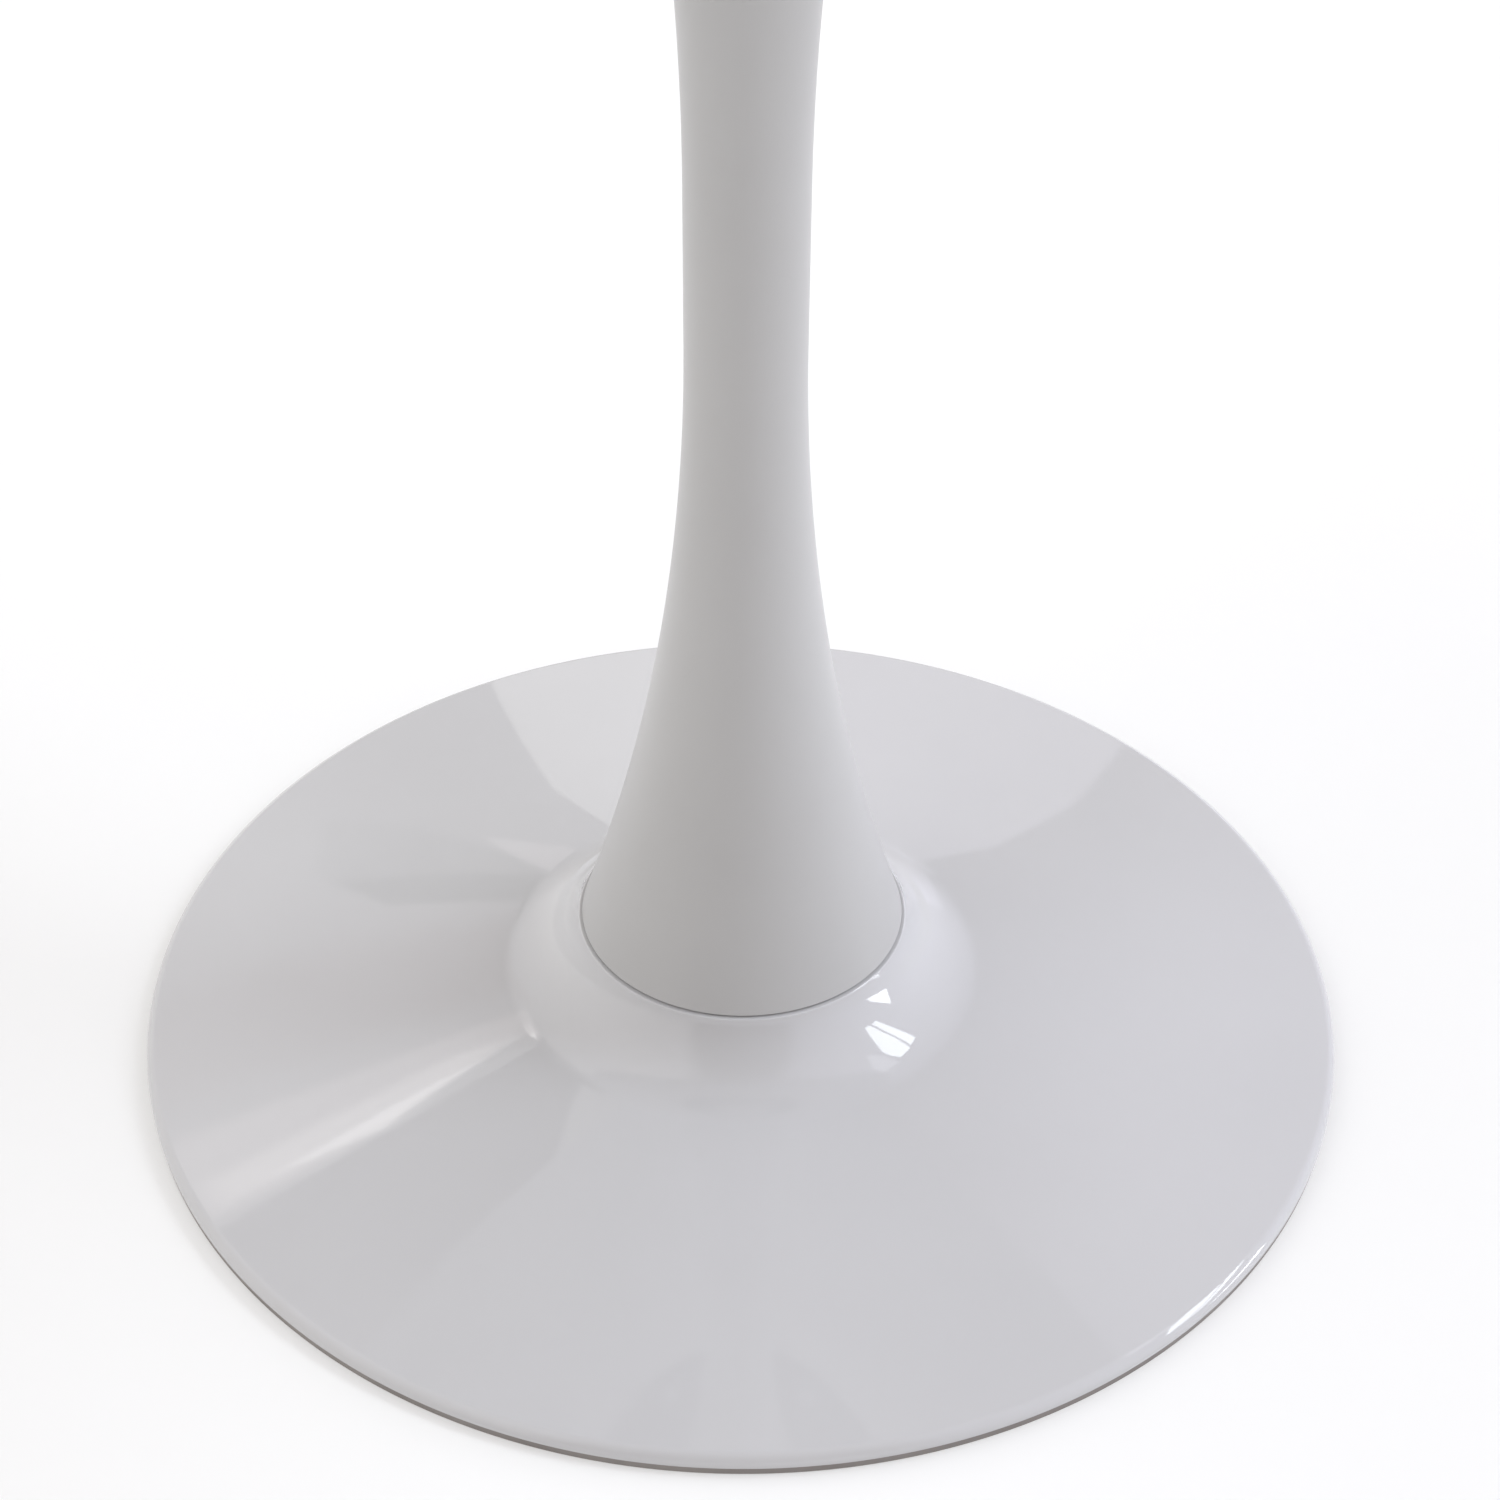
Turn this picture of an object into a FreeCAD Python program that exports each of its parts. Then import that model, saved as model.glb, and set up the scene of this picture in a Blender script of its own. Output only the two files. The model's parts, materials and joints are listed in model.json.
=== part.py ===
import FreeCAD, Part
import math
import os

import Sketcher

# Round pedestal table. A spun dish foot and a trumpet stem are clamped between a ballast plate
# and a mounting plate by one tie rod, and a round lacquered top is screwed to the mounting plate.
# Millimetres, +Z up, origin on the floor on the table's axis.

DIMENSIONS = {
    # Whole table
    "overall_height": 740,
    "top_diameter": 800,
    "foot_diameter": 500,
    # Table top
    "top_thickness": 25,
    "edge_band": 9,
    "edge_bevel_width": 50,
    "edge_upper_rounding": 2,
    "edge_lower_rounding": 3,
    "nut_recess_diameter": 46,
    "nut_recess_depth": 18,
    # Stem
    "seam_height": 52,
    "stem_foot_diameter": 132.8,
    "waist_diameter": 45,
    "waist_lower_height": 320,
    "waist_upper_height": 385,
    "stem_head_diameter": 156,
    "stem_wall": 2.5,
    "weld_disc_thickness": 8,
    # Foot shell
    "shell_wall": 2,
    "rim_rounding": 4.5,
    "rim_upright": 0.7,
    "dish_slope": 6.5,
    "neck_rounding": 38.7,
    "shoulder_ledge": 1.5,
    "shoulder_rounding": 0.8,
    "ledge_bore": 24,
    # Floor ring under the rim
    "ring_flange": 3.7,
    "ring_width": 13,
    "ring_inset": 0.4,
    "ring_chamfer": 0.6,
    "ring_play": 0.3,
    "ring_bead_width": 5,
    # Gasket in the seam
    "gasket_thickness": 1,
    "gasket_recess": 0.6,
    "gasket_width": 20,
    # Ballast plate and its pads
    "ballast_margin": 55,
    "ballast_thickness": 8,
    "access_bore": 60,
    "pad_diameter": 40,
    "pad_thickness": 3,
    "pad_margin": 45,
    "pad_count": 6,
    # Hub
    "hub_diameter": 114,
    "hub_wall": 3.6,
    "flange_diameter": 190,
    "flange_thickness": 8,
    "gusset_thickness": 6,
    "gusset_height": 20,
    "gusset_reach": 26,
    "gusset_toe": 4,
    "hub_screw_circle": 150,
    "hub_screw_count": 6,
    "hub_screw_diameter": 8,
    "hub_screw_head": 16,
    "hub_screw_socket": 5,
    "hub_screw_socket_depth": 3,
    "hub_screw_play": 0.5,
    # Mounting plate and its spigot ring
    "plate_diameter": 280,
    "plate_thickness": 5,
    "spigot_height": 10,
    "spigot_wall": 5,
    "spigot_play": 1,
    "spigot_gap": 2,
    # Screws and inserts that hold the top
    "plate_screw_circle": 240,
    "plate_screw_count": 6,
    "plate_screw_diameter": 6,
    "plate_screw_hole": 7,
    "plate_screw_reach": 12,
    "plate_screw_head": 4,
    "plate_screw_across_flats": 10,
    "plate_washer_diameter": 12,
    "plate_washer_thickness": 1.6,
    "plate_spring_diameter": 11,
    "plate_spring_thickness": 1.6,
    "insert_diameter": 10,
    "insert_length": 13,
    "insert_hole_depth": 16,
    # Tie rod, its nuts and washers
    "rod_diameter": 12,
    "rod_clearance": 1,
    "rod_stick_out": 3,
    "rod_chamfer": 1,
    "nut_across_flats": 18,
    "nut_height": 10.8,
    "nut_chamfer": 1.2,
    "rod_washer_diameter": 30,
    "rod_washer_thickness": 2.5,
    "rod_spring_diameter": 21,
    "rod_spring_thickness": 2.5,
    "spring_washer_slit": 12,
}

# Heights of the faces that stack up, from the floor
BALLAST_TOP = "(dims.pad_thickness + dims.ballast_thickness)"
FLANGE_TOP = f"({BALLAST_TOP} + dims.flange_thickness)"
HUB_TOP = "(dims.seam_height - dims.shell_wall)"
HUB_DISC_UNDERSIDE = f"({HUB_TOP} - dims.weld_disc_thickness)"
STEM_BOTTOM = "(dims.seam_height + dims.gasket_thickness)"
TOP_UNDERSIDE = "(dims.overall_height - dims.top_thickness)"
STEM_TOP = f"({TOP_UNDERSIDE} - dims.plate_thickness)"
SPIGOT_UNDERSIDE = f"({STEM_TOP} - dims.spigot_height)"
STEM_TOP_DISC = f"({SPIGOT_UNDERSIDE} - dims.spigot_gap - dims.weld_disc_thickness)"
LOWER_WASHER = f"({HUB_DISC_UNDERSIDE} - dims.rod_washer_thickness)"
LOWER_SPRING = f"({LOWER_WASHER} - dims.rod_spring_thickness)"
LOWER_NUT = f"({LOWER_SPRING} - dims.nut_height)"
ROD_BOTTOM = f"({LOWER_NUT} - dims.rod_stick_out)"
UPPER_NUT = f"({TOP_UNDERSIDE} + dims.rod_washer_thickness)"
ROD_TOP = f"({UPPER_NUT} + dims.nut_height + dims.rod_stick_out)"
PLATE_WASHER = f"({STEM_TOP} - dims.plate_washer_thickness)"
PLATE_SPRING = f"({PLATE_WASHER} - dims.plate_spring_thickness)"
PLATE_SCREW = f"({PLATE_SPRING} - dims.plate_screw_head)"

# Radii that neighbouring pieces share
FOOT_RADIUS = "dims.foot_diameter / 2"
WAIST_RADIUS = "dims.waist_diameter / 2"
STEM_FOOT_RADIUS = "dims.stem_foot_diameter / 2"
STEM_HEAD_RADIUS = "dims.stem_head_diameter / 2"
SHOULDER_RADIUS = f"({STEM_FOOT_RADIUS} + dims.shoulder_ledge)"
BALLAST_RADIUS = f"({FOOT_RADIUS} - dims.ballast_margin)"
ROD_BORE = "dims.rod_diameter + 2 * dims.rod_clearance"

# Faces and edges closer than this are the same place, in millimetres
SAME_PLACE = 1e-4

doc = FreeCAD.newDocument("pedestal_table")
dims = doc.addObject("Spreadsheet::Sheet", "dims")
for row, (alias, number) in enumerate(DIMENSIONS.items(), start=1):
    dims.set(f"A{row}", alias)
    dims.set(f"B{row}", str(number))
    dims.setAlias(f"B{row}", alias)
doc.recompute()


# ---- sketches -----------------------------------------------------------------------------------

def value(expression):
    """The number that an expression in the sheet's names gives now."""
    return float(dims.evalExpression(expression))


def origin_part(body, role):
    """A plane or axis of the body's own origin."""
    return next(part for part in body.Origin.OriginFeatures if part.Role == role)


def sketch_on(body, plane, across="0", up="0"):
    """An empty sketch on an origin plane, moved along the plane's X and off the plane."""
    sketch = body.newObject("Sketcher::SketchObject", f"{body.Name}_sketch")
    sketch.AttachmentSupport = [(origin_part(body, plane), "")]
    sketch.MapMode = "FlatFace"
    sketch.setExpression("AttachmentOffset.Base.x", across)
    sketch.setExpression("AttachmentOffset.Base.z", up)
    return sketch


def hold(sketch, constraint, expression):
    """Add a constraint whose value follows the sheet."""
    index = sketch.addConstraint(constraint)
    sketch.setExpression(f"Constraints[{index}]", expression)


def hold_point(sketch, geometry, end, x, y, held="xy"):
    """Place one end of a piece of geometry by its distances from the sketch's origin."""
    for name, kind, axis, expression in (("x", "DistanceX", -2, x), ("y", "DistanceY", -1, y)):
        if name not in held:
            continue
        if value(expression) == 0:
            sketch.addConstraint(Sketcher.Constraint("PointOnObject", geometry, end, axis))
        else:
            constraint = Sketcher.Constraint(kind, -1, 1, geometry, end, value(expression))
            hold(sketch, constraint, expression)


def arc_between(start, end, radius, bulge):
    """The shorter arc from start to end. It curves to the left for a bulge of 1, right for -1."""
    chord = end - start
    depth = math.sqrt(radius ** 2 - chord.Length ** 2 / 4)
    leftward = FreeCAD.Vector(-chord.y, chord.x, 0).normalize()
    circle = Part.Circle((start + end) / 2 + leftward * depth * bulge, FreeCAD.Vector(0, 0, 1), radius)
    first, last = (start, end) if bulge > 0 else (end, start)
    return Part.ArcOfCircle(circle, circle.parameter(first), circle.parameter(last))


def trace(sketch, corners, arcs=None, tangents=(), slopes=None):
    """Close a chain of edges through the corners, each (x, y) or (x, y, held directions).

    Edge n leaves corner n. arcs gives the radius and bulge of the edges that are arcs, tangents
    the edges that run smoothly into the next one, and slopes the direction of an edge in degrees.
    """
    arcs = arcs or {}
    count = len(corners)
    places = [FreeCAD.Vector(value(corner[0]), value(corner[1]), 0) for corner in corners]
    for edge, place in enumerate(places):
        following = places[(edge + 1) % count]
        if edge in arcs:
            radius, bulge = arcs[edge]
            sketch.addGeometry(arc_between(place, following, value(radius), bulge))
            hold(sketch, Sketcher.Constraint("Radius", edge, value(radius)), radius)
        else:
            sketch.addGeometry(Part.LineSegment(place, following))
    turned_back = {edge for edge, (_, bulge) in arcs.items() if bulge < 0}
    starts = [2 if edge in turned_back else 1 for edge in range(count)]
    for edge in range(count):
        following = (edge + 1) % count
        joint = "Tangent" if edge in tangents else "Coincident"
        ends = (edge, 3 - starts[edge], following, starts[following])
        sketch.addConstraint(Sketcher.Constraint(joint, *ends))
    for edge, corner in enumerate(corners):
        hold_point(sketch, edge, starts[edge], *corner)
    for edge, slope in (slopes or {}).items():
        angle = math.radians(value(slope))
        hold(sketch, Sketcher.Constraint("Angle", edge, angle), f"({slope}) * 1 deg")


def circle(sketch, diameter, x="0"):
    """A circle with its centre on the sketch's X axis."""
    radius = value(diameter) / 2
    centre = FreeCAD.Vector(value(x), 0, 0)
    index = sketch.addGeometry(Part.Circle(centre, FreeCAD.Vector(0, 0, 1), radius))
    hold(sketch, Sketcher.Constraint("Diameter", index, 2 * radius), diameter)
    hold_point(sketch, index, 3, x, "0")


def hexagon(sketch, across_flats):
    """A regular hexagon about the sketch's origin, with two corners on its X axis."""
    radius = value(across_flats) / math.sqrt(3)
    corners = [
        FreeCAD.Vector(radius * math.cos(math.radians(60 * k)), radius * math.sin(math.radians(60 * k)), 0)
        for k in range(6)
    ]
    sides = [sketch.addGeometry(Part.LineSegment(corners[k], corners[(k + 1) % 6])) for k in range(6)]
    round_corners = Part.Circle(FreeCAD.Vector(0, 0, 0), FreeCAD.Vector(0, 0, 1), radius)
    rim = sketch.addGeometry(round_corners, True)
    sketch.addConstraint(Sketcher.Constraint("Coincident", rim, 3, -1, 1))
    for k in sides:
        sketch.addConstraint(Sketcher.Constraint("Coincident", k, 2, sides[(k + 1) % 6], 1))
        sketch.addConstraint(Sketcher.Constraint("PointOnObject", k, 1, rim))
    for k in sides[1:]:
        sketch.addConstraint(Sketcher.Constraint("Equal", sides[0], k))
    sketch.addConstraint(Sketcher.Constraint("PointOnObject", sides[0], 1, -1))
    hold(sketch, Sketcher.Constraint("Radius", rim, radius), f"({across_flats}) / sqrt(3)")


# ---- features -----------------------------------------------------------------------------------

def new_body(label, height="0"):
    """An empty body that stands at a height above the floor."""
    body = doc.addObject("PartDesign::Body", label)
    body.Label = label
    body.setExpression("Placement.Base.z", height)
    return body


def add_feature(body, kind, **settings):
    """Add one feature and recompute, so that the next one can read its shape."""
    feature = body.newObject(f"PartDesign::{kind}", f"{body.Name}_{kind.lower()}")
    for name, setting in settings.items():
        setattr(feature, name, setting)
    return feature


def turn(body, corners, at="0", angle="360", kind="Revolution", **outline):
    """Turn an outline in radius and height about a vertical axis that stands at X = at."""
    sketch = sketch_on(body, "XZ_Plane", across=at)
    trace(sketch, corners, **outline)
    feature = add_feature(body, kind, Profile=sketch, ReferenceAxis=(sketch, ["V_Axis"]))
    feature.setExpression("Angle", angle)
    doc.recompute()
    return feature


def pad(body, sketch, length):
    """Raise a sketch upwards."""
    feature = add_feature(body, "Pad", Profile=sketch)
    feature.setExpression("Length", length)
    doc.recompute()
    return feature


def bore(body, diameter, x="0", depth=None):
    """Cut a round hole up from the body's underside, right through if it has no depth."""
    sketch = sketch_on(body, "XY_Plane")
    circle(sketch, diameter, x)
    feature = add_feature(body, "Pocket", Profile=sketch, Reversed=True)
    if depth is None:
        feature.Type = "ThroughAll"
    else:
        feature.setExpression("Length", depth)
    doc.recompute()
    return feature


def repeat(body, features, count):
    """Repeat features evenly around the table's axis."""
    pattern = add_feature(body, "PolarPattern", Originals=features, Angle=360)
    pattern.Axis = (origin_part(body, "Z_Axis"), [""])
    pattern.setExpression("Occurrences", count)
    body.Tip = pattern
    doc.recompute()


def flat_faces(feature, height):
    """The names of a feature's flat faces at a height in its own body."""
    return [
        f"Face{index}" for index, face in enumerate(feature.Shape.Faces, start=1)
        if isinstance(face.Surface, Part.Plane) and abs(face.CenterOfGravity.z - height) < SAME_PLACE
    ]


def round_edge(body, radius, x, height, kind="Fillet"):
    """Round or chamfer the turned edge that passes through a radius and height."""
    base = body.Tip
    names = [
        f"Edge{index}" for index, edge in enumerate(base.Shape.Edges, start=1)
        if isinstance(edge.Curve, Part.Circle)
        and abs(edge.Curve.Radius - value(x)) < SAME_PLACE
        and abs(edge.Curve.Center.z - value(height)) < SAME_PLACE
    ]
    feature = add_feature(body, kind, Base=(base, names))
    feature.setExpression("Radius" if kind == "Fillet" else "Size", radius)
    doc.recompute()


def hollow(body, wall, heights):
    """Leave a wall of even thickness inside the shape, open at the flat faces at these heights."""
    base = body.Tip
    faces = [name for height in heights for name in flat_faces(base, height)]
    feature = add_feature(body, "Thickness", Base=(base, faces), Reversed=True)
    feature.setExpression("Value", wall)
    doc.recompute()


def ring(label, height, outer, inner, thickness):
    """A flat ring or tube between two diameters."""
    body = new_body(label, height)
    sketch = sketch_on(body, "XY_Plane")
    circle(sketch, outer)
    circle(sketch, inner)
    pad(body, sketch, thickness)
    return body


# ---- foot ---------------------------------------------------------------------------------------

def foot_shell():
    """The spun dish: upright rim, shallow cone, hollow neck and the ledge that the stem sits on."""
    body = new_body("foot_shell", "dims.ring_flange")
    ledge = "(dims.seam_height - dims.ring_flange)"
    cone_foot = (f"{FOOT_RADIUS} - dims.rim_rounding", "dims.rim_upright + dims.rim_rounding", "")
    cone_head = (
        f"{SHOULDER_RADIUS} + dims.neck_rounding",
        f"{cone_foot[1]} + ({FOOT_RADIUS} - {SHOULDER_RADIUS} - dims.neck_rounding) * tan(dims.dish_slope)",
        "",
    )
    turn(
        body,
        [
            ("0", "0"),
            (FOOT_RADIUS, "0"),
            (FOOT_RADIUS, "dims.rim_upright"),
            cone_foot,
            cone_head,
            (SHOULDER_RADIUS, ledge),
            ("0", ledge),
        ],
        arcs={2: ("dims.rim_rounding", 1), 4: ("dims.neck_rounding", -1)},
        tangents=(1, 2, 3),
        slopes={3: "180 - dims.dish_slope"},
    )
    hollow(body, "dims.shell_wall", [0])
    round_edge(body, "dims.shoulder_rounding", SHOULDER_RADIUS, ledge)
    bore(body, "dims.ledge_bore")


def floor_ring():
    """The soft ring that the rim stands on, with a bead that keeps it inside the rim."""
    outer = f"({FOOT_RADIUS} - dims.ring_inset)"
    inner = f"({outer} - dims.ring_width)"
    bead = f"({FOOT_RADIUS} - dims.shell_wall - dims.ring_play)"
    bead_top = "dims.ring_flange + dims.rim_upright + dims.rim_rounding - dims.shell_wall - dims.ring_play"
    body = new_body("floor_ring")
    turn(
        body,
        [
            (inner, "0"),
            (outer, "0"),
            (outer, "dims.ring_flange"),
            (bead, "dims.ring_flange"),
            (bead, "dims.ring_flange + dims.rim_upright"),
            (f"{bead} - dims.ring_bead_width / 2", bead_top),
            (f"{bead} - dims.ring_bead_width", bead_top),
            (f"{bead} - dims.ring_bead_width", "dims.ring_flange"),
            (inner, "dims.ring_flange"),
        ],
    )
    round_edge(body, "dims.ring_chamfer", outer, "0", kind="Chamfer")


def glide_pads():
    """Round pads that the ballast plate stands on."""
    body = new_body("glide_pads")
    sketch = sketch_on(body, "XY_Plane")
    circle(sketch, "dims.pad_diameter", f"{BALLAST_RADIUS} - dims.pad_margin")
    repeat(body, [pad(body, sketch, "dims.pad_thickness")], "dims.pad_count")


def ballast_plate():
    """The heavy plate, with an access hole under the tie rod and countersunk screw holes."""
    body = ring("ballast_plate", "dims.pad_thickness", f"2 * {BALLAST_RADIUS}", "dims.access_bore",
                "dims.ballast_thickness")
    head = "dims.hub_screw_head / 2"
    hole = "(dims.hub_screw_diameter / 2 + dims.hub_screw_play)"
    countersink = turn(
        body,
        [
            ("0", "0"),
            (head, "0"),
            (hole, f"{head} - {hole}"),
            (hole, "dims.ballast_thickness"),
            ("0", "dims.ballast_thickness"),
        ],
        at="dims.hub_screw_circle / 2",
        kind="Groove",
    )
    repeat(body, [countersink], "dims.hub_screw_count")


def hub_flange():
    """The hub's foot, bored for the tie rod's nut and tapped for the ballast screws."""
    body = ring("hub_flange", BALLAST_TOP, "dims.flange_diameter", "dims.access_bore",
                "dims.flange_thickness")
    tapped = bore(body, "dims.hub_screw_diameter", "dims.hub_screw_circle / 2")
    repeat(body, [tapped], "dims.hub_screw_count")


def hub_tube():
    """The tube that carries the clamping load from the ledge down to the flange."""
    ring("hub_tube", FLANGE_TOP, "dims.hub_diameter", "dims.hub_diameter - 2 * dims.hub_wall",
         f"{HUB_TOP} - {FLANGE_TOP}")


def hub_top_disc():
    """The disc welded inside the top of the hub tube, where the tie rod's lower nut bears."""
    ring("hub_top_disc", HUB_DISC_UNDERSIDE, "dims.hub_diameter - 2 * dims.hub_wall", ROD_BORE,
         "dims.weld_disc_thickness")


def hub_gussets():
    """Triangular webs between the hub tube and its flange, halfway between the screws."""
    body = new_body("hub_gussets", FLANGE_TOP)
    half_step = "180 / dims.hub_screw_count"
    body.Placement.Rotation = FreeCAD.Rotation(FreeCAD.Vector(0, 0, 1), value(half_step))
    body.setExpression("Placement.Rotation.Angle", f"{half_step} * 1 deg")
    sketch = sketch_on(body, "XZ_Plane")
    root = "dims.hub_diameter / 2"
    tip = f"{root} + dims.gusset_reach"
    trace(
        sketch,
        [
            (root, "0"),
            (tip, "0"),
            (tip, "dims.gusset_toe"),
            (f"{root} + dims.gusset_toe", "dims.gusset_height"),
            (root, "dims.gusset_height"),
        ],
    )
    web = pad(body, sketch, "dims.gusset_thickness")
    web.SideType = "Symmetric"
    doc.recompute()
    repeat(body, [web], "dims.hub_screw_count")


def hub_screws():
    """Countersunk socket screws up through the ballast plate into the hub flange."""
    body = new_body("hub_screws", "dims.pad_thickness")
    head = "dims.hub_screw_head / 2"
    shank = "dims.hub_screw_diameter / 2"
    length = "dims.ballast_thickness + dims.flange_thickness"
    screw = turn(
        body,
        [("0", "0"), (head, "0"), (shank, f"{head} - {shank}"), (shank, length), ("0", length)],
        at="dims.hub_screw_circle / 2",
    )
    sketch = sketch_on(body, "XY_Plane", across="dims.hub_screw_circle / 2")
    hexagon(sketch, "dims.hub_screw_socket")
    socket = add_feature(body, "Pocket", Profile=sketch, Reversed=True)
    socket.setExpression("Length", "dims.hub_screw_socket_depth")
    doc.recompute()
    repeat(body, [screw, socket], "dims.hub_screw_count")


# ---- stem ---------------------------------------------------------------------------------------

def seam_gasket():
    """The thin ring between the foot's ledge and the stem, set back to leave a shadow line."""
    outer = "(dims.stem_foot_diameter - 2 * dims.gasket_recess)"
    ring("seam_gasket", "dims.seam_height", outer, f"{outer} - 2 * dims.gasket_width",
         "dims.gasket_thickness")


def flare_radius(end_radius, run):
    """The radius of the arc that leaves the waist upright and reaches an end's radius in its run."""
    growth = f"({end_radius} - {WAIST_RADIUS})"
    return f"(({growth}^2 + ({run})^2) / (2 * {growth}))"


LOWER_FLARE = flare_radius(STEM_FOOT_RADIUS, f"dims.waist_lower_height - {STEM_BOTTOM}")
UPPER_FLARE = flare_radius(STEM_HEAD_RADIUS, f"{STEM_TOP} - dims.waist_upper_height")


def radius_inside(flare, distance):
    """The radius of the stem's inner face in a flare, at a distance along the axis from the waist."""
    inner_arc = f"({flare} + dims.stem_wall)"
    return f"({WAIST_RADIUS} + {flare} - sqrt({inner_arc}^2 - ({distance})^2))"


def stem_shell():
    """The trumpet stem: a flare up from the seam, a straight waist and a flare out to the top."""
    body = new_body("stem_shell", STEM_BOTTOM)
    waist_low = f"dims.waist_lower_height - {STEM_BOTTOM}"
    waist_high = f"dims.waist_upper_height - {STEM_BOTTOM}"
    length = f"{STEM_TOP} - {STEM_BOTTOM}"
    turn(
        body,
        [
            ("0", "0"),
            (STEM_FOOT_RADIUS, "0"),
            (WAIST_RADIUS, waist_low),
            (WAIST_RADIUS, waist_high),
            (STEM_HEAD_RADIUS, length),
            ("0", length),
        ],
        arcs={1: (LOWER_FLARE, -1), 3: (UPPER_FLARE, -1)},
    )
    hollow(body, "dims.stem_wall", [0, value(length)])


def stem_disc(label, bottom, flare, waist_height):
    """A disc welded inside the stem, its edge following the flare, with a hole for the tie rod."""
    body = new_body(label, bottom)
    top = "dims.weld_disc_thickness"
    edge_low = radius_inside(flare, f"{bottom} - {waist_height}")
    edge_high = radius_inside(flare, f"{bottom} + {top} - {waist_height}")
    bore_radius = f"({ROD_BORE}) / 2"
    turn(
        body,
        [(bore_radius, "0"), (edge_low, "0"), (edge_high, top), (bore_radius, top)],
        arcs={1: (f"{flare} + dims.stem_wall", -1)},
    )


def centring_ring():
    """The spigot welded under the mounting plate, which drops inside the top of the stem."""
    tightest = radius_inside(UPPER_FLARE, f"{SPIGOT_UNDERSIDE} - dims.waist_upper_height")
    outer = f"(2 * {tightest} - 2 * dims.spigot_play)"
    ring("centring_ring", SPIGOT_UNDERSIDE, outer, f"{outer} - 2 * dims.spigot_wall",
         "dims.spigot_height")


# ---- tie rod ------------------------------------------------------------------------------------

def tie_rod():
    """The threaded rod that clamps the whole table together, chamfered at both ends."""
    body = new_body("tie_rod", ROD_BOTTOM)
    radius = "dims.rod_diameter / 2"
    point = f"{radius} - dims.rod_chamfer"
    length = f"{ROD_TOP} - {ROD_BOTTOM}"
    turn(
        body,
        [
            ("0", "0"),
            (point, "0"),
            (radius, "dims.rod_chamfer"),
            (radius, f"{length} - dims.rod_chamfer"),
            (point, length),
            ("0", length),
        ],
    )


def rod_nut(label, height):
    """A hexagon nut, its corners cut back by the chamfer at both faces."""
    body = new_body(label, height)
    sketch = sketch_on(body, "XY_Plane")
    hexagon(sketch, "dims.nut_across_flats")
    circle(sketch, "dims.rod_diameter")
    pad(body, sketch, "dims.nut_height")
    flat = "dims.nut_across_flats / 2"
    corner = "dims.nut_across_flats / sqrt(3)"
    outside = f"{corner} + dims.nut_chamfer"
    slant = f"dims.nut_chamfer * ({outside} - {flat}) / ({corner} - {flat})"
    for base, tip in (("0", slant), ("dims.nut_height", f"dims.nut_height - {slant}")):
        turn(body, [(flat, base), (outside, base), (outside, tip)], kind="Groove")


def rod_washer(label, height):
    """A flat washer on the tie rod."""
    ring(label, height, "dims.rod_washer_diameter", "dims.rod_diameter", "dims.rod_washer_thickness")


def split_washer(body, inner, outer, thickness, at="0"):
    """A spring washer's ring, with the narrow slit that its two ends leave."""
    corners = [(inner, "0"), (outer, "0"), (outer, thickness), (inner, thickness)]
    return turn(body, corners, at=at, angle="360 - dims.spring_washer_slit")


def lower_spring_washer():
    """The spring washer above the tie rod's lower nut."""
    body = new_body("lower_spring_washer", LOWER_SPRING)
    split_washer(body, "dims.rod_diameter / 2", "dims.rod_spring_diameter / 2", "dims.rod_spring_thickness")


# ---- mounting plate and top ---------------------------------------------------------------------

def mounting_plate():
    """The round steel plate that the stem carries and the top is screwed to."""
    body = ring("mounting_plate", STEM_TOP, "dims.plate_diameter", ROD_BORE, "dims.plate_thickness")
    hole = bore(body, "dims.plate_screw_hole", "dims.plate_screw_circle / 2")
    repeat(body, [hole], "dims.plate_screw_count")


def plate_screws():
    """Hexagon screws up through the mounting plate into the inserts in the top."""
    body = new_body("plate_screws", PLATE_SCREW)
    place = "dims.plate_screw_circle / 2"
    head_sketch = sketch_on(body, "XY_Plane", across=place)
    hexagon(head_sketch, "dims.plate_screw_across_flats")
    head = pad(body, head_sketch, "dims.plate_screw_head")
    shank_sketch = sketch_on(body, "XY_Plane", across=place, up="dims.plate_screw_head")
    circle(shank_sketch, "dims.plate_screw_diameter")
    stack = "dims.plate_spring_thickness + dims.plate_washer_thickness + dims.plate_thickness"
    shank = pad(body, shank_sketch, f"{stack} + dims.plate_screw_reach")
    repeat(body, [head, shank], "dims.plate_screw_count")


def plate_flat_washers():
    """Flat washers under the mounting plate."""
    body = new_body("plate_flat_washers", PLATE_WASHER)
    sketch = sketch_on(body, "XY_Plane", across="dims.plate_screw_circle / 2")
    circle(sketch, "dims.plate_washer_diameter")
    circle(sketch, "dims.plate_screw_diameter")
    repeat(body, [pad(body, sketch, "dims.plate_washer_thickness")], "dims.plate_screw_count")


def plate_spring_washers():
    """Spring washers between the flat washers and the screw heads."""
    body = new_body("plate_spring_washers", PLATE_SPRING)
    washer = split_washer(body, "dims.plate_screw_diameter / 2", "dims.plate_spring_diameter / 2",
                          "dims.plate_spring_thickness", at="dims.plate_screw_circle / 2")
    repeat(body, [washer], "dims.plate_screw_count")


def top_inserts():
    """Threaded sleeves sunk in the underside of the top."""
    body = new_body("top_inserts", TOP_UNDERSIDE)
    sketch = sketch_on(body, "XY_Plane", across="dims.plate_screw_circle / 2")
    circle(sketch, "dims.insert_diameter")
    circle(sketch, "dims.plate_screw_diameter")
    repeat(body, [pad(body, sketch, "dims.insert_length")], "dims.plate_screw_count")


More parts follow.
